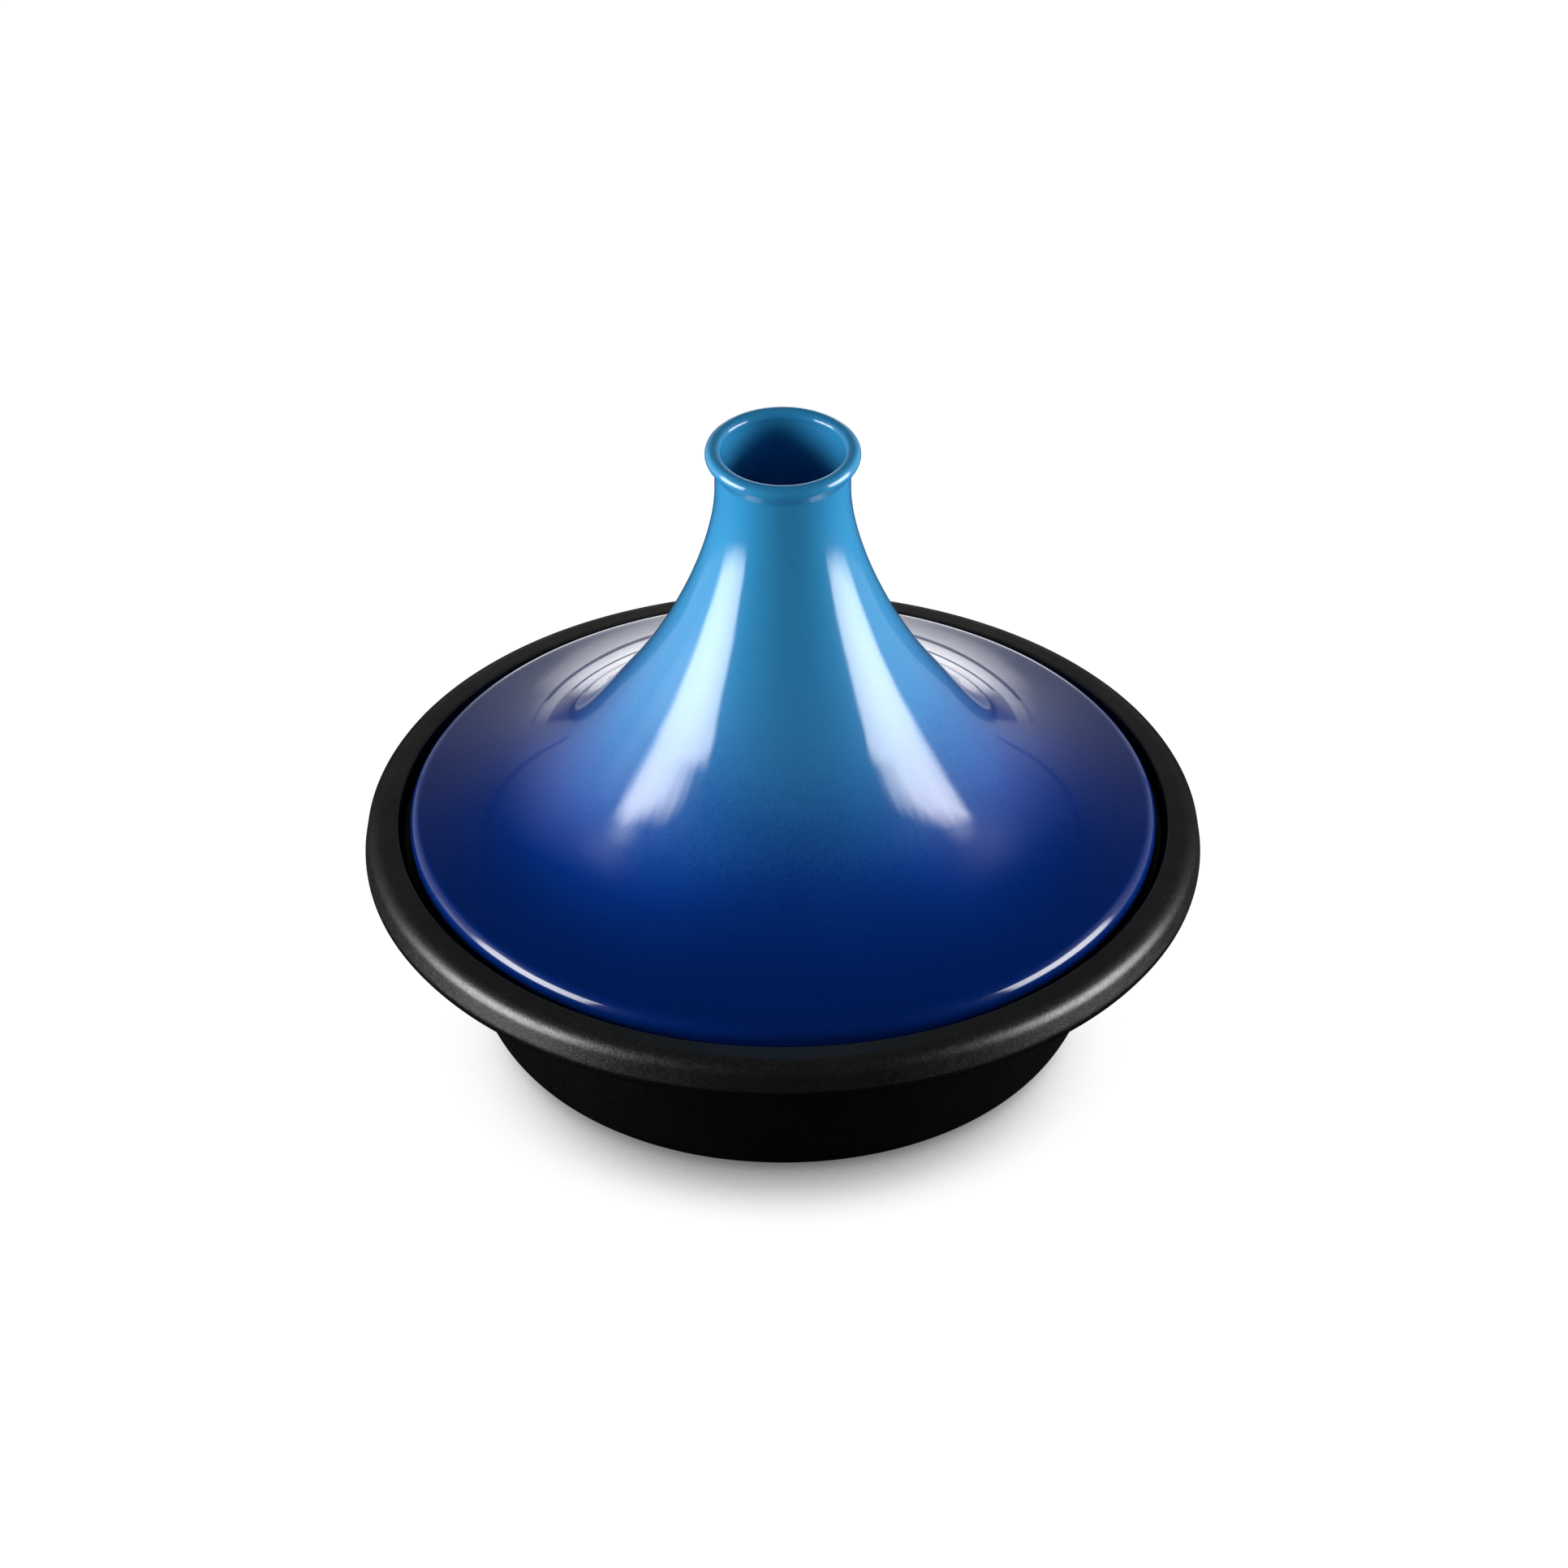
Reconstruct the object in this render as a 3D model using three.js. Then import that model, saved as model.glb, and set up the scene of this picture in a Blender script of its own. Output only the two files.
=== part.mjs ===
// Tagine pot: a shallow round cast iron base with a wide rim, and a tall stoneware lid that rests in it.
// The lid is a concave cone. Its neck ends in a rolled lip, and the mouth opens into a blind well.
// Units are millimetres, +Z is up, and the origin is the centre of the foot, where the pot stands.
// Both pieces are turned about the Z axis, so each one is an outline of [radius, height] points.

import * as THREE from 'three';

// ---- Driving dimensions ----

const TURN_STEPS = 60; // facets round the pot

// base
const RIM_RADIUS = 155; // widest part of the pot
const RIM_TOP = 82.5; // height of the rim's inner edge
const RIM_WIDTH = 5.2; // from the recess to the start of the shoulder
const RIM_SLOPE = 6; // degrees that the rim's top falls away outwards
const SHOULDER_RADIUS = 6.5; // rounding between the rim's top and its side
const SIDE_DRAFT = 7.4; // degrees that the rim's side leans in towards its top
const SKIRT_HEIGHT = 16.5; // from the rim's top to the bottom of its hanging edge
const RECESS_RADIUS = 142.5; // mouth of the recess that takes the lid
const RECESS_DEPTH = 5;
const RECESS_DRAFT = 1.6;
const LEDGE_RADIUS = 127; // where the ledge drops into the cooking bowl
const LEDGE_ROUND = 1.5;
const IRON = 4.5; // wall thickness
const FOOT_RADIUS = 97.5;
const FOOT_RING_WIDTH = 13.5;
const FOOT_RECESS = 1.2; // the underside is hollowed a little inside the foot ring

// lid
const LID_HEIGHT = 250; // top of the lip, measured from the table
const STONEWARE = 6.8; // wall thickness
const SEAT_GAP = 0.3; // clearance between the lid's foot and the base's ledge
const EDGE_RADIUS = 138.3; // outside of the lid's rounded edge
const EDGE_ROUND = 5.2;
const EDGE_WALL_TOP = 4.6; // the edge stands straight from here down to its heel, measured above the lid's foot
const EDGE_HEEL = 1.5;
const LID_FOOT_WIDTH = 4.7;
const FLANK = [60, 140.5]; // a point half way down the cone
const FLANK_ANGLE = -54.8; // direction of the cone there, in degrees
const NECK_RADIUS = 25.1;
const LIP_ROUND = 3; // half the thickness of the rolled lip
const LIP_RING_RADIUS = 25.7; // to the middle of the roll
const LIP_UNDERSIDE_ANGLE = -35; // where the roll turns into its conical underside, in degrees
const LIP_INNER_ANGLE = 190; // where the roll turns into the well's wall
const WELL_RADIUS = 19.6;
const WELL_DEPTH = 62;

// ---- Outline helpers ----

// The point at a distance from another, in a direction given in degrees.
function polar([r, z], degrees, distance) {
  const angle = THREE.MathUtils.degToRad(degrees);
  return [r + distance * Math.cos(angle), z + distance * Math.sin(angle)];
}

function arc(centre, radius, fromDegrees, toDegrees, steps) {
  const points = [];
  for (let i = 0; i <= steps; i += 1) {
    points.push(polar(centre, fromDegrees + ((toDegrees - fromDegrees) * i) / steps, radius));
  }
  return points;
}

function bend(start, startHandle, endHandle, end, steps) {
  const corners = [start, startHandle, endHandle, end].map(([r, z]) => new THREE.Vector2(r, z));
  return new THREE.CubicBezierCurve(...corners).getPoints(steps).map((point) => [point.x, point.y]);
}

// Joins the stretches of an outline, leaving out points that repeat the one before.
function join(...stretches) {
  const joined = [];
  for (const [r, z] of stretches.flat()) {
    const point = new THREE.Vector2(r, z);
    const last = joined[joined.length - 1];
    if (!last || point.distanceTo(last) > 1e-6) {
      joined.push(point);
    }
  }
  return joined;
}

// ---- Base ----

// From the underside's centre, out and up round the rim, and back down inside to the middle of the floor.
function baseOutline() {
  const ledge = RIM_TOP - RECESS_DEPTH;
  const skirtBottom = RIM_TOP - SKIRT_HEIGHT;
  const flange = ledge - IRON - 2; // the flange's underside
  const floor = FOOT_RECESS + IRON;
  const ringInner = FOOT_RADIUS - FOOT_RING_WIDTH;
  const footEdge = [FOOT_RADIUS, 0];
  const wallFoot = [FOOT_RADIUS + 16, 14.5];
  const wallTop = [LEDGE_RADIUS + 3.3, flange - 4.5];
  const recessFoot = RECESS_RADIUS - RECESS_DRAFT;
  const bowlTop = [LEDGE_RADIUS - LEDGE_ROUND, ledge - LEDGE_ROUND];
  const bowlFoot = [wallFoot[0] - IRON - 1, 17];
  const floorEdge = [FOOT_RADIUS - 9, floor];

  const underside = [[0, FOOT_RECESS], [ringInner - FOOT_RECESS, FOOT_RECESS], [ringInner, 0], footEdge];
  const heel = bend(footEdge, [FOOT_RADIUS + 7.5, 0], [FOOT_RADIUS + 12.4, 5.5], wallFoot, 5);
  const outerWall = bend(wallFoot, [118.8, 27], [126.5, 50], wallTop, 3);
  const flangeRoot = bend(
    wallTop,
    [wallTop[0] + 0.8, flange - 1.2],
    [wallTop[0] + 2, flange],
    [wallTop[0] + 5, flange],
    3,
  );
  const skirtInner = bend(
    [RIM_RADIUS - 10, flange],
    [RIM_RADIUS - 7, flange],
    [RIM_RADIUS - 6.4, flange - 2],
    [RIM_RADIUS - 5.4, skirtBottom + 1],
    3,
  );
  const skirtEdge = bend(
    [RIM_RADIUS - 4.2, skirtBottom],
    [RIM_RADIUS - 1.4, skirtBottom],
    [RIM_RADIUS + 0.1, skirtBottom + 2],
    [RIM_RADIUS, skirtBottom + 4.6],
    4,
  );
  // The shoulder touches the drafted side and the sloping top.
  const shoulderStart = polar([RECESS_RADIUS + 0.8, RIM_TOP], -RIM_SLOPE, RIM_WIDTH);
  const shoulderCentre = polar(shoulderStart, -90 - RIM_SLOPE, SHOULDER_RADIUS);
  const shoulder = arc(shoulderCentre, SHOULDER_RADIUS, SIDE_DRAFT, 90 - RIM_SLOPE, 5);
  const recessMouth = [[RECESS_RADIUS + 0.8, RIM_TOP], [RECESS_RADIUS, RIM_TOP - 0.8]];
  const recessCorner = [
    [recessFoot + 0.3, ledge + 1.2],
    [recessFoot - 0.3, ledge + 0.3],
    [recessFoot - 1.2, ledge],
  ];
  const ledgeEdge = arc([LEDGE_RADIUS, ledge - LEDGE_ROUND], LEDGE_ROUND, 90, 180, 2);
  const bowlWall = bend(bowlTop, [124.9, 58], [115, 33], bowlFoot, 4);
  const bowlHeel = bend(bowlFoot, [104.6, 9.4], [98.5, floor + 0.4], floorEdge, 4);
  return join(
    underside,
    heel,
    outerWall,
    flangeRoot,
    skirtInner,
    skirtEdge,
    shoulder,
    recessMouth,
    recessCorner,
    ledgeEdge,
    bowlWall,
    bowlHeel,
    [[0, floor]],
  );
}

// ---- Lid ----

// From the middle of the underside, out to the edge, up the outside, and over the lip into the well.
function lidOutline() {
  const foot = RIM_TOP - RECESS_DEPTH + SEAT_GAP;
  const footOuter = EDGE_RADIUS - 5.8;
  const footInner = footOuter - LID_FOOT_WIDTH;
  const wellFloor = LID_HEIGHT - WELL_DEPTH;
  const ceiling = wellFloor - STONEWARE - 1;
  const innerFlank = polar(FLANK, FLANK_ANGLE - 90, STONEWARE);
  const innerBrimEnd = [120.5, 84.5];
  const heelCentre = [EDGE_RADIUS - EDGE_HEEL, foot + EDGE_HEEL];
  const edgeCentre = [EDGE_RADIUS - EDGE_ROUND, foot + EDGE_WALL_TOP];
  const edgeTop = polar(edgeCentre, 78, EDGE_ROUND);
  const neckTop = [NECK_RADIUS, 232];
  const lipCentre = [LIP_RING_RADIUS, LID_HEIGHT - LIP_ROUND];
  const wellTop = polar(lipCentre, LIP_INNER_ANGLE, LIP_ROUND);
  const wellHeel = [WELL_RADIUS, wellFloor + 19];

  const innerCone = bend([0, ceiling], [28, ceiling], polar(innerFlank, FLANK_ANGLE, -25.7), innerFlank, 6);
  const innerBrim = bend(innerFlank, polar(innerFlank, FLANK_ANGLE, 52), [92, 92.1], innerBrimEnd, 6);
  const footRoot = bend(innerBrimEnd, [124, 83.5], [footInner - 2, 83], [footInner - 1.6, 80.6], 3);
  const footRing = [[footInner - 1.2, foot + 1], [footInner, foot], [footOuter, foot]];
  const heel = arc(heelCentre, EDGE_HEEL, -90, 0, 2);
  const edge = arc(edgeCentre, EDGE_ROUND, 0, 78, 4);
  const brim = bend(edgeTop, polar(edgeTop, 168, 43.5), polar(FLANK, FLANK_ANGLE, 42.6), FLANK, 8);
  const neck = bend(FLANK, polar(FLANK, FLANK_ANGLE, -32.4), [NECK_RADIUS, 206.7], neckTop, 8);
  // The lip's conical underside meets the neck in a crease.
  const crease = [[NECK_RADIUS, 240.6], [NECK_RADIUS + 0.5, 241.8]];
  const lip = arc(lipCentre, LIP_ROUND, LIP_UNDERSIDE_ANGLE, LIP_INNER_ANGLE, 9);
  const wellWall = bend(wellTop, [WELL_RADIUS + 1, 240], [WELL_RADIUS + 0.3, 222], wellHeel, 3);
  const wellEnd = bend(wellHeel, [WELL_RADIUS - 0.8, wellFloor + 6], [11.5, wellFloor], [0, wellFloor], 5);
  return join(innerCone, innerBrim, footRoot, footRing, heel, edge, brim, neck, crease, lip, wellWall, wellEnd);
}

// ---- Assembly ----

function turned(name, outline, material) {
  const geometry = new THREE.LatheGeometry(outline, TURN_STEPS);
  geometry.rotateX(Math.PI / 2); // the lathe turns about Y, and the pot stands along Z
  const mesh = new THREE.Mesh(geometry, material);
  mesh.name = name;
  return mesh;
}

const castIron = new THREE.MeshStandardMaterial({ color: 0x161616, roughness: 0.62, metalness: 0.3 });
const blueGlaze = new THREE.MeshStandardMaterial({ color: 0x1f5fae, roughness: 0.12, metalness: 0 });

const group = new THREE.Group();
group.add(turned('cast_iron_base', baseOutline(), castIron));
group.add(turned('stoneware_lid', lidOutline(), blueGlaze));

export default group;
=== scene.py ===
"""Tagine pot: a matt black cast iron base, and a conical stoneware lid glazed from azure down to navy.

Both pieces are turned about the Z axis. Their outlines are lists of (radius, height) points in metres,
and each stretch of an outline carries the number of the material that covers it.
"""

import math

import bmesh
import bpy
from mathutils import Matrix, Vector, noise
from mathutils.geometry import interpolate_bezier


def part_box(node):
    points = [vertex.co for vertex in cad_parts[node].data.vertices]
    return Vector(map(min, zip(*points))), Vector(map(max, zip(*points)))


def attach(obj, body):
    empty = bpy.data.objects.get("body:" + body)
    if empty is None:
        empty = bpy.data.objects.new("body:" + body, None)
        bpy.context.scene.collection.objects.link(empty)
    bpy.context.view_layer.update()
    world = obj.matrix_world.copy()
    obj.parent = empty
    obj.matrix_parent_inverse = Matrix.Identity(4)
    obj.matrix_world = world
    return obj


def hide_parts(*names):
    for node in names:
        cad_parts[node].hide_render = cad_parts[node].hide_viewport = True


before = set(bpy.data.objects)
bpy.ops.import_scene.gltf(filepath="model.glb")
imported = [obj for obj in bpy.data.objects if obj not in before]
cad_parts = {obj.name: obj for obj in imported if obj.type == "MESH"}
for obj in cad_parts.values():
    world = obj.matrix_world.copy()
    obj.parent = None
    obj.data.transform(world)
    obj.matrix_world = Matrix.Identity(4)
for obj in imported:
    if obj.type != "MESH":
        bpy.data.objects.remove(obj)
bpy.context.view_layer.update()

MM = 0.001
TURN_STEPS = 288  # facets round each piece

# ---- Sizes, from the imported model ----

_, base_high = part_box("cast_iron_base")
lid_low, lid_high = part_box("stoneware_lid")
RIM_RADIUS = base_high.x
RIM_TOP = base_high.z
EDGE_RADIUS = lid_high.x
LID_TOP = lid_high.z
LID_FOOT = lid_low.z

# ---- Outlines ----


def polar(point, degrees, distance):
    """The point at a distance from another, in a direction given in degrees."""
    angle = math.radians(degrees)
    return (point[0] + distance * math.cos(angle), point[1] + distance * math.sin(angle))


def beside(point, outwards, upwards):
    """The point that lies so far out and so far up from another."""
    return (point[0] + outwards, point[1] + upwards)


def arc(centre, radius, from_degrees, to_degrees, steps):
    span = to_degrees - from_degrees
    return [polar(centre, from_degrees + span * i / steps, radius) for i in range(steps + 1)]


def bend(start, start_handle, end_handle, end, steps):
    corners = [Vector((r, z, 0)) for r, z in (start, start_handle, end_handle, end)]
    return [(p.x, p.y) for p in interpolate_bezier(*corners, steps + 1)]


def straight(start, end, steps):
    share = [i / steps for i in range(steps + 1)]
    return [(start[0] + (end[0] - start[0]) * s, start[1] + (end[1] - start[1]) * s) for s in share]


def mm(radius, height):
    return (radius * MM, height * MM)


ENAMEL, BOWL_ENAMEL, GROUND_IRON, MOUTH_HIGHLIGHT_ENAMEL, LIT_RIM_ENAMEL = range(5)
GLAZE, INNER_GLAZE, BARE_CLAY = range(3)


def base_outline():
    """From the underside's centre, out and up round the rim, and back down inside to the floor."""
    ledge = RIM_TOP - 5 * MM
    skirt_bottom = RIM_TOP - 16.5 * MM
    flange = ledge - 6.5 * MM
    foot_recess = 1.2 * MM
    floor = 5.7 * MM

    foot_radius = RIM_RADIUS - 57.5 * MM
    ring_inner = foot_radius - 13.5 * MM
    recess_edge = (ring_inner - foot_recess, foot_recess)
    wall_foot = (foot_radius + 16 * MM, 14.5 * MM)
    ledge_radius = RIM_RADIUS - 28 * MM
    wall_top = (ledge_radius + 3.3 * MM, flange - 4.5 * MM)

    flange_inner = (wall_top[0] + 5 * MM, flange)
    flange_outer = (RIM_RADIUS - 10 * MM, flange)
    skirt_lowest = (RIM_RADIUS - 4 * MM, skirt_bottom)
    skirt_side = (RIM_RADIUS, skirt_bottom + 4.6 * MM)

    recess_radius = RIM_RADIUS - 12.5 * MM
    top_slope = -6
    top_width = 5.2 * MM
    shoulder_round = 6.5 * MM
    side_angle = 7.4
    shoulder_start = polar((recess_radius + 0.8 * MM, RIM_TOP), top_slope, top_width)
    shoulder_centre = polar(shoulder_start, top_slope - 90, shoulder_round)
    side_top = polar(shoulder_centre, side_angle, shoulder_round)

    mouth_round = 0.8 * MM
    mouth_angle = 150
    mouth_centre = (recess_radius + mouth_round, RIM_TOP - mouth_round)
    mouth_inner = (recess_radius, RIM_TOP - mouth_round)
    corner = 1.1 * MM
    recess_foot = recess_radius - 1.6 * MM
    recess_corner = (recess_foot + 0.2 * MM, ledge + corner)
    ledge_outer = (recess_foot - corner, ledge)

    ledge_round = 1.5 * MM
    bowl_top = (ledge_radius - ledge_round, ledge - ledge_round)
    bowl_foot = (wall_foot[0] - 5.5 * MM, 17 * MM)
    floor_edge = (foot_radius - 9 * MM, floor)
    return [
        (ENAMEL, straight((0, foot_recess), recess_edge, 24)),
        (ENAMEL, bend(recess_edge, (ring_inner - 0.6 * MM, foot_recess),
                      (ring_inner - 0.6 * MM, 0), (ring_inner, 0), 5)),
        (GROUND_IRON, straight((ring_inner, 0), (foot_radius, 0), 4)),
        (ENAMEL, bend((foot_radius, 0), (foot_radius + 7.5 * MM, 0),
                      (foot_radius + 12.4 * MM, 5.5 * MM), wall_foot, 16)),
        (ENAMEL, bend(wall_foot, mm(118.8, 27), mm(126.5, 50), wall_top, 26)),
        (ENAMEL, bend(wall_top, (wall_top[0] + 0.8 * MM, flange - 1.2 * MM),
                      (wall_top[0] + 2 * MM, flange), flange_inner, 8)),
        (ENAMEL, straight(flange_inner, flange_outer, 5)),
        (ENAMEL, bend(flange_outer, (RIM_RADIUS - 7 * MM, flange),
                      (RIM_RADIUS - 6.6 * MM, skirt_bottom), skirt_lowest, 12)),
        (ENAMEL, bend(skirt_lowest, (RIM_RADIUS - 1.4 * MM, skirt_bottom),
                      (RIM_RADIUS + 0.1 * MM, skirt_bottom + 2 * MM), skirt_side, 12)),
        # the rim's side, shoulder and top wear a brighter copy of the black enamel: painted light
        (LIT_RIM_ENAMEL, straight(skirt_side, side_top, 5)),
        (LIT_RIM_ENAMEL, arc(shoulder_centre, shoulder_round, side_angle, top_slope + 90, 18)),
        (LIT_RIM_ENAMEL, straight(shoulder_start, (recess_radius + mouth_round, RIM_TOP), 6)),
        # painted highlight along the mouth's rounded inner edge
        (MOUTH_HIGHLIGHT_ENAMEL, arc(mouth_centre, mouth_round, 90, mouth_angle, 5)),
        (LIT_RIM_ENAMEL, straight(polar(mouth_centre, mouth_angle, mouth_round), mouth_inner, 1)),
        (LIT_RIM_ENAMEL, straight(mouth_inner, recess_corner, 5)),
        (ENAMEL, bend(recess_corner, (recess_foot, ledge + 0.4 * MM),
                      (recess_foot - 0.4 * MM, ledge), ledge_outer, 6)),
        (ENAMEL, straight(ledge_outer, (ledge_radius, ledge), 6)),
        (BOWL_ENAMEL, arc((ledge_radius, ledge - ledge_round), ledge_round, 90, 180, 6)),
        (BOWL_ENAMEL, bend(bowl_top, mm(124.9, 58), mm(115, 33), bowl_foot, 28)),
        (BOWL_ENAMEL, bend(bowl_foot, mm(104.6, 9.4), (98.5 * MM, floor + 0.4 * MM), floor_edge, 18)),
        (BOWL_ENAMEL, straight(floor_edge, (0, floor), 24)),
    ]


def lid_outline():
    """From the middle of the underside, out to the edge, up the outside, and over the lip into the well."""
    stoneware = 6.8 * MM
    well_floor = LID_TOP - 62 * MM
    ceiling = well_floor - stoneware - 1 * MM

    flank = mm(60, 140.5)
    flank_angle = -54.8
    inner_flank = polar(flank, flank_angle - 90, stoneware)

    edge_round = 5.2 * MM
    edge_angle = 78
    edge_centre = (EDGE_RADIUS - edge_round, LID_FOOT + 4.6 * MM)
    edge_top = polar(edge_centre, edge_angle, edge_round)
    heel_round = 1.5 * MM
    heel_centre = (EDGE_RADIUS - heel_round, LID_FOOT + heel_round)
    foot_outer = EDGE_RADIUS - 5.8 * MM
    foot_inner = foot_outer - 4.7 * MM
    foot_side = (foot_inner - 1.2 * MM, LID_FOOT + 1.2 * MM)
    foot_root = mm(120.5, 84.5)

    neck_radius = 25.1 * MM
    neck_top = (neck_radius, LID_TOP - 18 * MM)
    lip_round = 3 * MM
    lip_centre = (25.7 * MM, LID_TOP - lip_round)
    underside_angle = -35
    inner_angle = 190
    lip_underside = polar(lip_centre, underside_angle, lip_round)
    crease_top = polar(lip_underside, underside_angle - 90, 4.4 * MM)
    crease_foot = (neck_radius, crease_top[1] - 1.6 * MM)

    well_radius = 19.6 * MM
    well_top = polar(lip_centre, inner_angle, lip_round)
    well_heel = (well_radius, well_floor + 19 * MM)
    return [
        (INNER_GLAZE, bend((0, ceiling), (28 * MM, ceiling),
                           polar(inner_flank, flank_angle, -25.7 * MM), inner_flank, 40)),
        (INNER_GLAZE, bend(inner_flank, polar(inner_flank, flank_angle, 52 * MM),
                           mm(92, 92.1), foot_root, 44)),
        (INNER_GLAZE, bend(foot_root, mm(124, 83.5), (foot_inner - 2 * MM, 83 * MM), foot_side, 10)),
        (BARE_CLAY, bend(foot_side, (foot_inner - 0.9 * MM, LID_FOOT + 0.4 * MM),
                         (foot_inner - 0.6 * MM, LID_FOOT), (foot_inner, LID_FOOT), 5)),
        (BARE_CLAY, straight((foot_inner, LID_FOOT), (foot_outer, LID_FOOT), 5)),
        (BARE_CLAY, straight((foot_outer, LID_FOOT), (heel_centre[0], LID_FOOT), 2)),
        (GLAZE, arc(heel_centre, heel_round, -90, 0, 8)),
        (GLAZE, arc(edge_centre, edge_round, 0, edge_angle, 24)),
        (GLAZE, bend(edge_top, polar(edge_top, edge_angle + 90, 43.5 * MM),
                     polar(flank, flank_angle, 42.6 * MM), flank, 64)),
        (GLAZE, bend(flank, polar(flank, flank_angle, -32.4 * MM), mm(25.1, 206.7), neck_top, 56)),
        (GLAZE, straight(neck_top, crease_foot, 6)),
        (GLAZE, bend(crease_foot, beside(crease_foot, 0, 1.2 * MM),
                     beside(crease_top, -0.3 * MM, -0.4 * MM), crease_top, 6)),
        (GLAZE, straight(crease_top, lip_underside, 4)),
        (GLAZE, arc(lip_centre, lip_round, underside_angle, inner_angle, 40)),
        (GLAZE, bend(well_top, (well_radius + 1 * MM, LID_TOP - 10 * MM),
                     (well_radius + 0.3 * MM, LID_TOP - 28 * MM), well_heel, 26)),
        (GLAZE, bend(well_heel, (well_radius - 0.8 * MM, well_floor + 6 * MM),
                     (11.5 * MM, well_floor), (0, well_floor), 22)),
    ]


# ---- Meshes ----


def uneven(point, wavelength, height, seed):
    """A slow hand-made waviness, as a distance along the surface's normal."""
    return height * noise.noise(point / wavelength + Vector((seed, seed, seed)))


def turned(name, stretches, materials, wavelength, height, seed):
    """Turns an outline about Z into one smooth closed mesh, slightly uneven as a cast or thrown piece is.

    Nothing goes below the floor.
    """
    same_point = 1e-7
    on_axis = 1e-9
    points, slots = [], []
    for slot, stretch in stretches:
        for point in stretch:
            if not points or math.dist(points[-1], point) > same_point:
                points.append(point)
                slots.append(slot)
    made = bmesh.new()
    rings = []
    for r, z in points:
        if r < on_axis:
            rings.append([made.verts.new((0, 0, z))])
            continue
        ring = []
        for i in range(TURN_STEPS):
            angle = 2 * math.pi * i / TURN_STEPS
            ring.append(made.verts.new((r * math.cos(angle), r * math.sin(angle), z)))
        rings.append(ring)
    for (lower, upper), slot in zip(zip(rings, rings[1:]), slots[1:]):
        for i in range(TURN_STEPS):
            j = (i + 1) % TURN_STEPS
            below = [lower[i % len(lower)], lower[j % len(lower)]]
            above = [upper[j % len(upper)], upper[i % len(upper)]]
            face = made.faces.new(list(dict.fromkeys(below + above)))
            face.material_index = slot
            face.smooth = True
    bmesh.ops.recalc_face_normals(made, faces=made.faces)
    made.normal_update()
    moves = [v.normal * uneven(v.co, wavelength, height, seed) for v in made.verts]
    for vertex, move in zip(made.verts, moves):
        vertex.co += move
        vertex.co.z = max(vertex.co.z, 0)
    mesh = bpy.data.meshes.new(name)
    made.to_mesh(mesh)
    made.free()
    for material in materials:
        mesh.materials.append(material)
    piece = bpy.data.objects.new(name, mesh)
    bpy.context.scene.collection.objects.link(piece)
    return piece


# ---- Nodes ----


class Nodes:
    """A short way to add and join the nodes of one material, light or world."""

    def __init__(self, tree):
        self.tree = tree

    def add(self, kind, **settings):
        node = self.tree.nodes.new(kind)
        for key, value in settings.items():
            setattr(node, key, value)
        return node

    def join(self, output, socket):
        self.tree.links.new(output, socket)

    def split(self, vector):
        """The outputs X, Y and Z of a vector."""
        node = self.add("ShaderNodeSeparateXYZ")
        self.join(vector, node.inputs["Vector"])
        return node.outputs

    def maths(self, operation, first, second=0):
        """One step of arithmetic on numbers or outputs of nodes."""
        node = self.add("ShaderNodeMath", operation=operation)
        for value, socket in zip((first, second), node.inputs):
            if isinstance(value, (int, float)):
                socket.default_value = value
            else:
                self.join(value, socket)
        return node.outputs["Value"]

    def remap(self, value, from_low, from_high, to_low, to_high, interpolation="LINEAR"):
        """A value carried from one range to another, and held at the ends of it."""
        node = self.add("ShaderNodeMapRange", interpolation_type=interpolation)
        node.inputs["From Min"].default_value = from_low
        node.inputs["From Max"].default_value = from_high
        node.inputs["To Min"].default_value = to_low
        node.inputs["To Max"].default_value = to_high
        self.join(value, node.inputs["Value"])
        return node.outputs["Result"]

    def noise(self, place, scale, detail, roughness=0.5):
        """Noise from 0 to 1 that mostly stays within USUAL_NOISE."""
        texture = self.add("ShaderNodeTexNoise")
        texture.inputs["Scale"].default_value = scale
        texture.inputs["Detail"].default_value = detail
        texture.inputs["Roughness"].default_value = roughness
        self.join(place, texture.inputs["Vector"])
        return texture.outputs["Fac"]


# ---- Materials ----

USUAL_NOISE = (0.3, 0.7)


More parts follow.
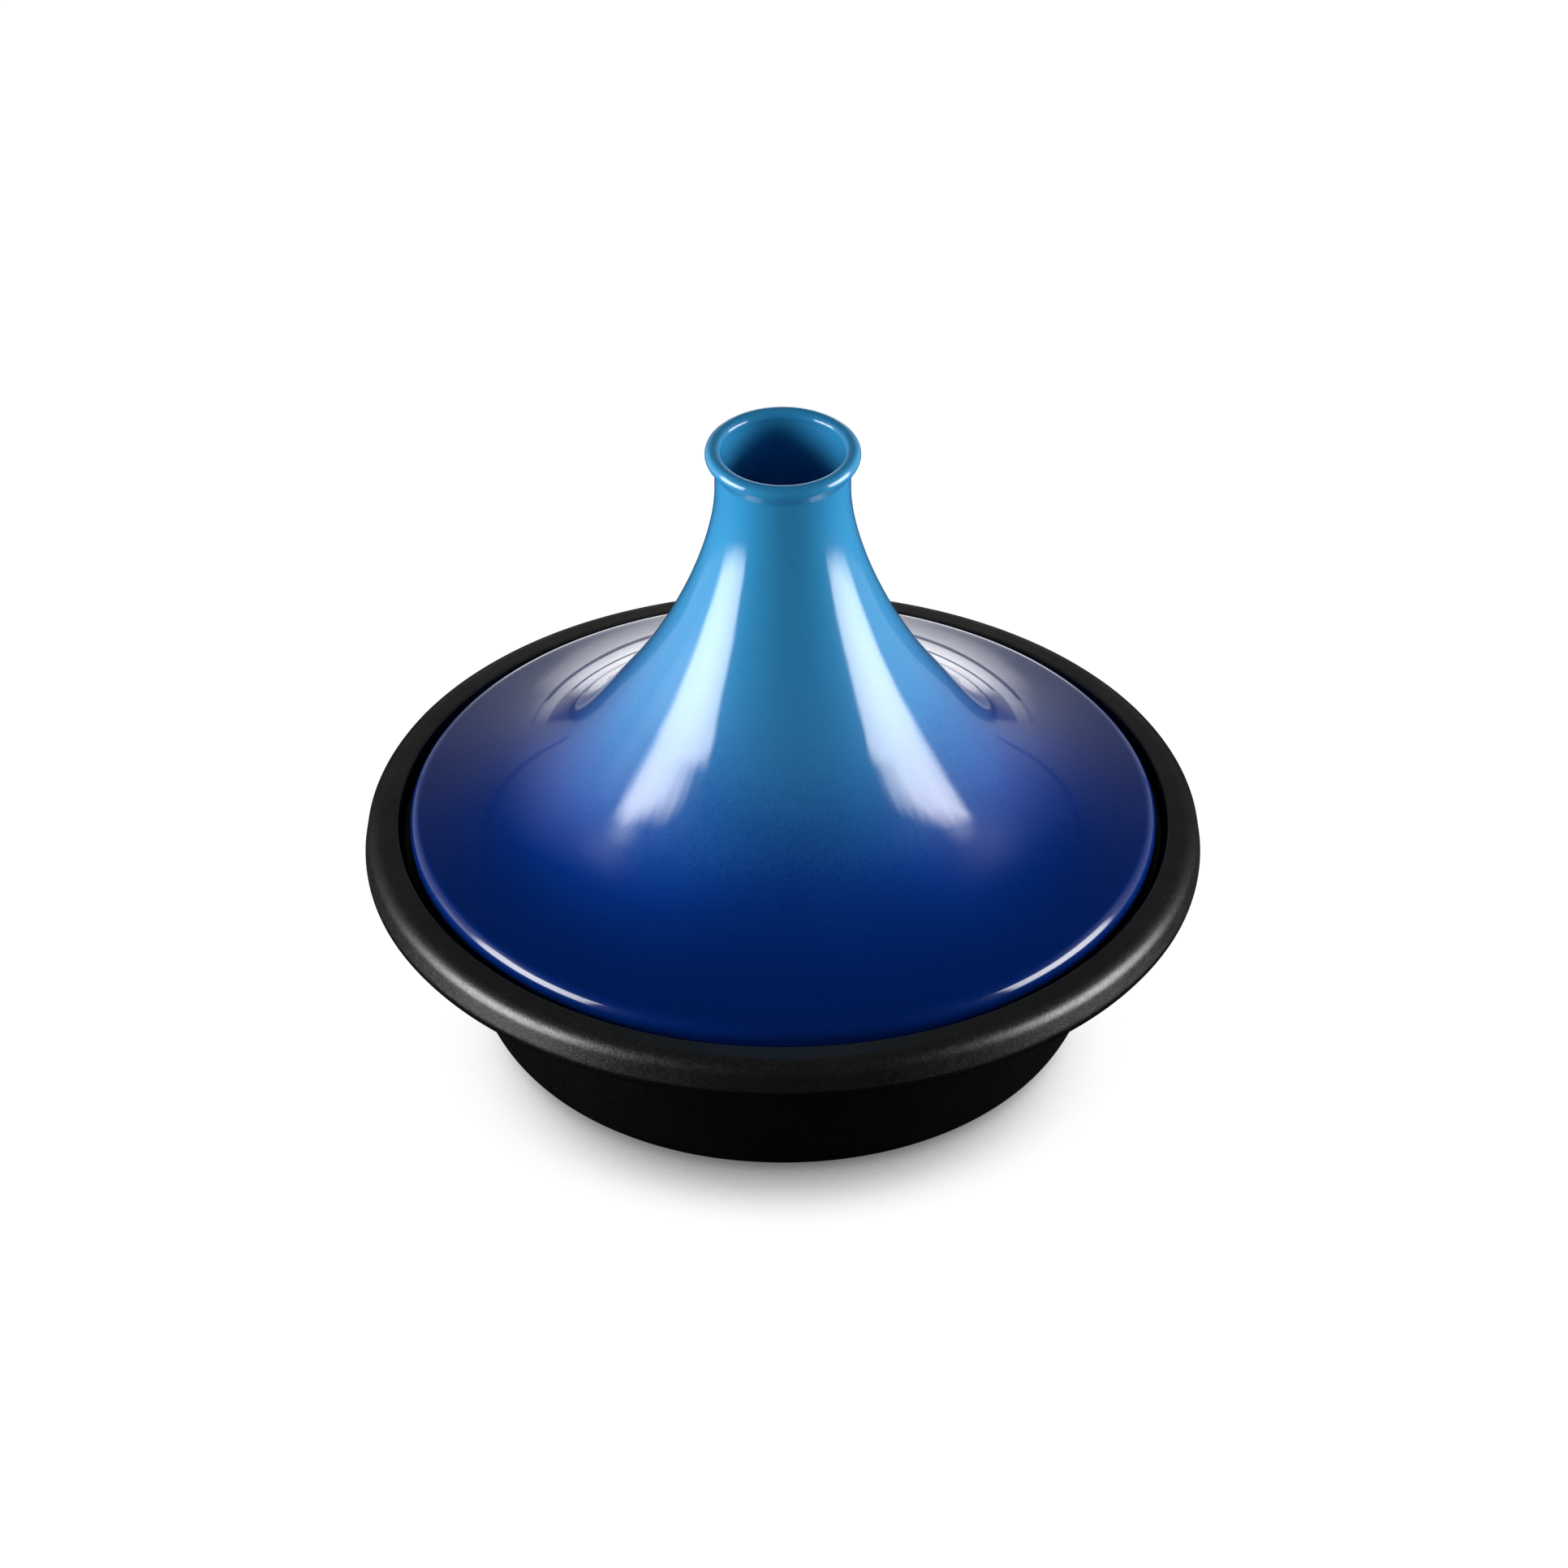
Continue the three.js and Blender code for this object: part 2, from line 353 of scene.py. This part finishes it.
class Finish(Nodes):
    """One new material, with its shader, and each point's place and facing in the piece's own space."""

    def __init__(self, name):
        self.material = bpy.data.materials.new(name)
        self.material.use_nodes = True
        super().__init__(self.material.node_tree)
        self.shader = self.tree.nodes["Principled BSDF"]
        coordinates = self.add("ShaderNodeTexCoord")
        self.place = coordinates.outputs["Object"]
        self.facing = coordinates.outputs["Normal"]

    def plain(self, socket, value):
        """Gives one of the shader's sockets the same value all over."""
        self.shader.inputs[socket].default_value = value

    def drive(self, socket, output):
        """Lets nodes set one of the shader's sockets."""
        self.join(output, self.shader.inputs[socket])

    def speckle(self, size, detail=2.0, roughness=0.5):
        """Noise whose features are about size metres across."""
        return self.noise(self.place, 1 / size, detail, roughness)

    def vary(self, size, low, high, detail=2.0):
        """A number that drifts between two values, in features of about size metres."""
        return self.remap(self.speckle(size, detail), *USUAL_NOISE, low, high)

    def ramp(self, value, stops, interpolation="B_SPLINE"):
        node = self.add("ShaderNodeValToRGB")
        node.color_ramp.interpolation = interpolation
        elements = node.color_ramp.elements
        while len(elements) < len(stops):
            elements.new(0.5)
        for element, (position, colour) in zip(elements, stops):
            element.position = position
            element.color = (*colour, 1)
        self.join(value, node.inputs["Fac"])
        return node.outputs["Color"]

    def blotches(self, pattern, first, second):
        """A colour that drifts between two colours, as the noise in pattern does."""
        return self.ramp(pattern, list(zip(USUAL_NOISE, (first, second))))

    def scaled(self, colour, factor):
        node = self.add("ShaderNodeVectorMath", operation="SCALE")
        self.join(colour, node.inputs[0])
        self.join(factor, node.inputs["Scale"])
        return node.outputs[0]

    def multiplied(self, share, colour, shade):
        """A colour times another, where share is how much of the shade shows."""
        node = self.add("ShaderNodeMix", data_type="RGBA", blend_type="MULTIPLY")
        factor, first, second = (node.inputs[i] for i in (0, 6, 7))
        factor.default_value = share
        self.join(colour, first)
        self.join(shade, second)
        return node.outputs[2]

    def bump(self, pattern, height, under=None):
        """A normal bent by a pattern so many metres high, on top of another bump where one is given."""
        node = self.add("ShaderNodeBump")
        node.inputs["Strength"].default_value = 1.0
        node.inputs["Distance"].default_value = height
        self.join(pattern, node.inputs["Height"])
        if under is not None:
            self.join(under, node.inputs["Normal"])
        return node.outputs["Normal"]


AZURE = (0.026, 0.228, 0.460)
CERULEAN = (0.036, 0.207, 0.470)
ROYAL = (0.002, 0.039, 0.255)
NAVY = (0.0005, 0.019, 0.158)
MIDNIGHT = (0.0004, 0.0115, 0.090)
LID_FADE = [  # from the lid's foot, at 0, to its top, at 1
    (0.0, NAVY),
    (0.035, MIDNIGHT),
    (0.11, NAVY),
    (0.23, ROYAL),
    (0.43, CERULEAN),
    (0.62, AZURE),
    (1.0, AZURE),
]

CREAM = (0.68, 0.63, 0.54)
DARK_CREAM = (0.60, 0.55, 0.46)
IRON_SPECK = (0.25, 0.19, 0.13)
CLAY = (0.58, 0.50, 0.40)
DARK_CLAY = (0.36, 0.29, 0.21)
WHITE = (1, 1, 1)


def blue_glaze():
    """Glossy glaze that fades from azure at the neck to navy at the edge, sprayed on as fine droplets.

    The droplets and the drift of the fade die away towards the lid's edge. Inside the lip and the well the
    colour is raised as painted light, standing in for light that reaches down into them.
    """
    n = Finish("blue_glaze")
    parts = n.split(n.place)
    height = parts["Z"]
    drift = n.vary(45 * MM, -4 * MM, 4 * MM, detail=1.0)
    spray = n.remap(n.speckle(1.1 * MM, 3.0, 0.7), 0.25, 0.75, -7 * MM, 7 * MM)
    strength = n.remap(height, LID_FOOT + 8 * MM, LID_FOOT + 55 * MM, 0.08, 1)
    sprayed = n.maths("ADD", height, n.maths("MULTIPLY", n.maths("ADD", drift, spray), strength))
    fade = n.ramp(n.remap(sprayed, LID_FOOT, LID_TOP, 0, 1), LID_FADE)

    across = n.maths("MULTIPLY", parts["X"], parts["X"])
    along = n.maths("MULTIPLY", parts["Y"], parts["Y"])
    radius = n.maths("SQRT", n.maths("ADD", across, along))
    # painted light: the colour is up to 1.38 times brighter inside the lip and down the well
    painted_well_light = n.remap(radius, 21 * MM, 25 * MM, 1.38, 1.0)
    n.drive("Base Color", n.scaled(fade, painted_well_light))
    n.drive("Roughness", n.vary(6 * MM, 0.26, 0.34))
    n.plain("IOR", 1.15)
    n.plain("Coat Weight", 1.0)
    n.plain("Coat Roughness", 0.04)
    n.plain("Coat IOR", 1.48)
    return n.material


def inner_glaze():
    """Pale glaze with small iron specks on the lid's underside."""
    n = Finish("inner_glaze")
    speck_stops = [(0.0, IRON_SPECK), (0.27, IRON_SPECK), (0.31, WHITE), (1.0, WHITE)]
    specks = n.ramp(n.speckle(2.2 * MM, detail=0.0), speck_stops, "LINEAR")
    cloud = n.blotches(n.speckle(30 * MM), DARK_CREAM, CREAM)
    n.drive("Base Color", n.multiplied(0.6, cloud, specks))
    n.drive("Roughness", n.vary(8 * MM, 0.14, 0.22))
    n.drive("Normal", n.bump(n.speckle(10 * MM, detail=1.0), 0.05 * MM))
    return n.material


def bare_clay():
    """Unglazed stoneware, where the lid's foot was left bare to stand in the kiln."""
    n = Finish("bare_clay")
    n.drive("Base Color", n.blotches(n.speckle(0.7 * MM, 3.0, 0.7), DARK_CLAY, CLAY))
    n.drive("Roughness", n.vary(2 * MM, 0.75, 0.92))
    n.drive("Normal", n.bump(n.speckle(0.6 * MM, detail=3.0), 0.08 * MM))
    return n.material


def iron(name, mirror, roughness, grain, grain_height, bare=0.05, grazing=0.2, top=1.0):
    """Enamelled or ground iron with the fine grain of a sand casting. It dims towards grazing angles.

    mirror is how much light it returns straight back, and bare is how much of it scatters light evenly.
    grazing is how bright it stays when seen along its surface. top is how many times brighter its level
    tops are painted than its sides: painted light, standing in for the light that falls on surfaces facing
    up.
    """
    n = Finish(name)
    warmth = (1.0, 1.0, 0.99)
    darker, lighter = [tuple(mirror * part * shade for part in warmth) for shade in (0.85, 1.15)]
    # painted light: tops that face up get their colour raised by top
    level = n.remap(n.split(n.facing)["Z"], 0.80, 0.98, 1.0, top)
    n.drive("Base Color", n.scaled(n.blotches(n.speckle(20 * MM, detail=3.0), darker, lighter), level))
    n.drive("Roughness", n.vary(grain * 2, *roughness))
    n.plain("Metallic", 1 - bare)
    n.plain("Specular Tint", (grazing, grazing, grazing, 1))
    swell = n.bump(n.speckle(6 * MM), 0.06 * MM)
    n.drive("Normal", n.bump(n.speckle(grain, 3.0, 0.65), grain_height, swell))
    return n.material


# ---- Pieces ----

base_materials = [  # in the order of the numbers ENAMEL to LIT_RIM_ENAMEL
    iron("black_enamel", mirror=0.040, roughness=(0.25, 0.37), grain=0.65 * MM, grain_height=0.055 * MM),
    iron("bowl_enamel", mirror=0.040, roughness=(0.28, 0.38), grain=0.65 * MM, grain_height=0.04 * MM),
    iron("ground_iron", mirror=0.16, roughness=(0.45, 0.62), grain=0.5 * MM, grain_height=0.04 * MM,
         bare=0.5),
    # the rim's rounded inner edge gets a brighter copy of the enamel: a painted highlight along the mouth
    iron("mouth_edge_highlight", mirror=0.06, roughness=(0.35, 0.50), grain=0.65 * MM, grain_height=0.05 * MM,
         bare=0.3, grazing=0.8),
    # the rim's enamel is the same black enamel made brighter, with its top brighter still: painted light on
    # the rim's side, shoulder and top
    iron("rim_enamel_lit", mirror=0.056, roughness=(0.29, 0.41), grain=0.75 * MM, grain_height=0.08 * MM,
         bare=0.09, grazing=0.25, top=1.5),
]
base = turned("tagine_base", base_outline(), base_materials, wavelength=40 * MM, height=0.10 * MM, seed=3.0)
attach(base, "base")
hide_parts("cast_iron_base")

lid_materials = [blue_glaze(), inner_glaze(), bare_clay()]
lid = turned("tagine_lid", lid_outline(), lid_materials, wavelength=32 * MM, height=0.08 * MM, seed=11.0)
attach(lid, "lid")
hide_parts("stoneware_lid")

# ---- Floor, light and camera ----


def make_floor():
    """A white floor that lights nothing else, with a soft contact shadow under the pot.

    Part of its brightness is the softboxes' light, and the rest is a glow that dies away in corners. The
    corners are felt for in a direction that leans back, so the shadow lies mostly in front of the pot.
    """
    half = 6.0
    shadow_reach = 55 * MM
    lean = math.radians(38)
    glow_by_openness = [
        (0, 0.02),
        (0.10, 0.13),
        (0.20, 0.28),
        (0.28, 0.42),
        (0.35, 0.65),
        (0.45, 0.86),
        (0.55, 0.95),
        (0.7, 0.985),
        (1, 1.0),
    ]
    mesh = bpy.data.meshes.new("floor")
    corners = [(-half, -half, 0), (half, -half, 0), (half, half, 0), (-half, half, 0)]
    mesh.from_pydata(corners, [], [(0, 1, 2, 3)])

    n = Finish("floor")
    n.plain("Base Color", (0.08, 0.08, 0.08, 1))
    n.plain("Roughness", 0.9)
    n.plain("Specular IOR Level", 0.0)
    n.plain("Emission Color", (1, 1, 1, 1))
    openness = n.add("ShaderNodeAmbientOcclusion", samples=24)
    openness.inputs["Distance"].default_value = shadow_reach
    leaning = n.add("ShaderNodeCombineXYZ")
    leaning.inputs["Y"].default_value = math.sin(lean)
    leaning.inputs["Z"].default_value = math.cos(lean)
    n.join(leaning.outputs["Vector"], openness.inputs["Normal"])
    grey_stops = [(share, (glow, glow, glow)) for share, glow in glow_by_openness]
    n.drive("Emission Strength", n.ramp(openness.outputs["AO"], grey_stops, "LINEAR"))
    mesh.materials.append(n.material)

    floor = bpy.data.objects.new("floor", mesh)
    bpy.context.scene.collection.objects.link(floor)
    floor.visible_glossy = False
    floor.visible_diffuse = False
    floor.visible_shadow = False


def direction(azimuth, elevation):
    """A unit vector from the pot. Azimuth 0 is the camera's side, and it grows towards +X."""
    a, e = math.radians(azimuth), math.radians(elevation)
    return Vector((math.sin(a) * math.cos(e), -math.cos(a) * math.cos(e), math.sin(e)))


def dome(n, share, peak, roundness, fades):
    """A brightness from 0 to 1 along a panel: a low dome, with a soft edge at the start and at the end.

    peak is where the dome is highest, and roundness is how fast it falls from there. fades are the
    shares of the length over which the two edges fade in.
    """
    off_peak = n.maths("SUBTRACT", share, peak)
    fall = n.maths("MULTIPLY", n.maths("MULTIPLY", off_peak, off_peak), roundness)
    start = n.remap(share, 0.0, fades[0], 0, 1, "SMOOTHSTEP")
    end = n.remap(share, 1.0, 1.0 - fades[1], 0, 1, "SMOOTHSTEP")
    return n.maths("MULTIPLY", n.maths("MULTIPLY", start, end), n.maths("SUBTRACT", 1.0, fall))


def softbox(name, azimuths, elevations, radiance, peak, fades, inner_side=0, taper=0.0, mirrored=True):
    """A big upright panel of light facing the pot, between two azimuths and two elevations in degrees.

    It is brightest above its middle, narrower at its foot, and has soft edges that waver a little like
    cloth. peak is where across it the light is brightest, from 0 to 1, and fades are the shares of its
    width over which its sides fade out. Its top slopes down by the taper from its inner side, which is
    0 or 1 across it. A panel that isn't mirrored lights the pot, but its reflection isn't seen.
    """
    distance = 2.6  # from the pot's axis
    eye = 0.13  # the height that the elevations are seen from
    waver = 0.10
    foot_narrowing = 1.12
    top_widening = 0.15
    half = math.radians(abs(azimuths[1] - azimuths[0]) / 2)
    bottom, top = [eye + distance * math.tan(math.radians(e)) for e in elevations]

    light = bpy.data.lights.new(name, "AREA")
    light.shape = "RECTANGLE"
    light.size = 2 * distance * math.tan(half)
    light.size_y = top - bottom
    light.energy = radiance * math.pi * light.size * light.size_y
    light.use_nodes = True

    n = Nodes(light.node_tree)
    place = n.add("ShaderNodeNewGeometry").outputs["Parametric"]
    parts = n.split(place)
    folds = n.noise(place, scale=7, detail=3)
    pull = n.maths("MULTIPLY", n.maths("SUBTRACT", folds, 0.5), waver)
    outwards = n.maths("ABSOLUTE", n.maths("SUBTRACT", parts["X"], inner_side))
    stretch = n.maths("ADD", 1.0, n.maths("MULTIPLY", outwards, taper))
    narrowing = n.maths("SUBTRACT", foot_narrowing, n.maths("MULTIPLY", parts["Y"], top_widening))
    off_middle = n.maths("MULTIPLY", n.maths("SUBTRACT", parts["X"], 0.5), narrowing)
    across = n.maths("ADD", n.maths("ADD", off_middle, 0.5), pull)
    upwards = n.maths("MULTIPLY", n.maths("ADD", parts["Y"], pull), stretch)
    across_light = dome(n, across, peak, 2.0, fades)
    upwards_light = dome(n, upwards, peak=0.66, roundness=1.4, fades=(0.24, 0.15))
    brightness = n.maths("MULTIPLY", across_light, upwards_light)
    n.join(brightness, n.tree.nodes["Emission"].inputs["Strength"])

    panel = bpy.data.objects.new(name, light)
    towards = direction(sum(azimuths) / 2, 0)
    panel.location = towards * distance + Vector((0, 0, (top + bottom) / 2))
    panel.rotation_mode = "QUATERNION"
    panel.rotation_quaternion = (-towards).to_track_quat("-Z", "Y")
    panel.visible_camera = False
    panel.visible_glossy = mirrored
    bpy.context.scene.collection.objects.link(panel)


make_floor()
softbox("softbox_left", (-101.0, -51.4), (-21.6, 30.5), radiance=14.4,
        peak=0.54, fades=(0.20, 0.125), inner_side=1, taper=0.13)
softbox("softbox_right", (62.0, 109.5), (-20.0, 29.0), radiance=13.2,
        peak=0.45, fades=(0.12, 0.16), inner_side=0, taper=0.13)
softbox("fill_right", (90, 140), (-10, 30), radiance=3.6,
        peak=0.5, fades=(0.1, 0.1), mirrored=False)


def make_world():
    """A dark room with a pale sweep behind the pot, and light spilt round the softboxes' outer sides.

    The camera sees plain white past the floor.
    """
    world = bpy.data.worlds.new("studio")
    bpy.context.scene.world = world
    world.use_nodes = True
    n = Nodes(world.node_tree)
    background = n.tree.nodes["Background"]
    background.inputs["Color"].default_value = (1, 1, 1, 1)
    place = n.add("ShaderNodeTexCoord").outputs["Generated"]
    parts = n.split(place)
    off_back = n.maths("ABSOLUTE", n.maths("ARCTAN2", parts["X"], parts["Y"]))
    height = n.maths("ARCSINE", parts["Z"])

    def glow(azimuth, elevation, spread, power, strength):
        """A round soft patch of light, full in its middle and nothing at its spread, in degrees."""
        dot = n.add("ShaderNodeVectorMath", operation="DOT_PRODUCT")
        dot.inputs[1].default_value = direction(azimuth, elevation)
        n.join(place, dot.inputs[0])
        share = n.remap(dot.outputs["Value"], math.cos(math.radians(spread)), 1.0, 0.0, 1.0)
        return n.maths("MULTIPLY", n.maths("POWER", share, power), strength)

    def within(value, low, high, soft):
        """From 1 between two angles to 0 outside them, over a soft edge, all in degrees."""
        low, high, soft = math.radians(low), math.radians(high), math.radians(soft)
        above_low = n.remap(value, low - soft, low + soft, 0, 1)
        below_high = n.remap(value, high - soft, high + soft, 1, 0)
        return n.maths("MULTIPLY", above_low, below_high)

    def patch(sides, elevations, soft, strength):
        """A soft-edged patch between two angles off the back, on both sides, and two elevations."""
        inside = n.maths("MULTIPLY", within(off_back, *sides, soft), within(height, *elevations, soft))
        return n.maths("MULTIPLY", inside, strength)

    straight_back = -1  # just past the middle of the back, so that no soft edge shows there
    front = 181
    lights = [
        glow(-98, 33, spread=31, power=8, strength=0.71),  # spill round the left softbox
        glow(-112, -6, spread=50, power=1.25, strength=0.75),
        glow(-104, 3, spread=15, power=1.2, strength=0.9),
        glow(-91, 25, spread=13, power=4, strength=2.8),
        glow(100, 23, spread=13, power=4, strength=2.6),  # spill round the right softbox
        glow(112, 32, spread=31, power=5.7, strength=0.47),
        glow(113, -12, spread=62, power=1.8, strength=0.56),
        glow(180, 3, spread=59, power=5, strength=0.68),  # the sweep behind the pot, and its bright middle
        glow(180, -2, spread=19, power=1.6, strength=2.6),
        patch((straight_back, 11.0), (-17, 12.2), soft=1.0, strength=0.5),
    ]
    shades = [
        patch((straight_back, 13.5), (4.2, 6.0), soft=0.3, strength=0.95),  # level seams in the sweep
        patch((13.5, 17.5), (4.6, 6.4), soft=0.3, strength=0.35),
        patch((straight_back, 12.0), (-5.4, -3.4), soft=0.3, strength=0.95),
        patch((12.0, 18.5), (-18, -2.5), soft=0.8, strength=0.68),  # beside the sweep's bright middle
        patch((26.8, 28.4), (-10, 34), soft=0.5, strength=0.55),  # an upright seam on each side
        patch((straight_back, 47), (-60, -15.4), soft=0.8, strength=0.8),  # below the sweep's foot
        patch((47, front), (-60, -20), soft=2.0, strength=0.85),  # the dark floor of the room
    ]
    room = 0.005
    for light in lights:
        room = n.maths("ADD", light, room)
    for shade in shades:
        room = n.maths("MULTIPLY", room, n.maths("SUBTRACT", 1.0, shade))
    seen = n.add("ShaderNodeLightPath")
    pick = n.add("ShaderNodeMix")
    n.join(seen.outputs["Is Camera Ray"], pick.inputs[0])
    n.join(room, pick.inputs[2])
    pick.inputs[3].default_value = 1.0
    n.join(pick.outputs[0], background.inputs["Strength"])


make_world()


def make_camera():
    """A long lens from above the front, at the height and angle of a product shot."""
    elevation = math.radians(35.16)
    distance = 6.975
    target = Vector((0.4 * MM, 0, 99.2 * MM))
    camera = bpy.data.cameras.new("camera")
    camera.sensor_width = 36
    camera.lens = 432.3
    camera.clip_end = 50
    seen_from = bpy.data.objects.new("camera", camera)
    back = Vector((0, -math.cos(elevation), math.sin(elevation)))
    seen_from.location = target + back * distance
    seen_from.rotation_mode = "QUATERNION"
    seen_from.rotation_quaternion = (-back).to_track_quat("-Z", "Y")
    bpy.context.scene.collection.objects.link(seen_from)
    bpy.context.scene.camera = seen_from


make_camera()
bpy.context.scene.view_settings.view_transform = "Standard"
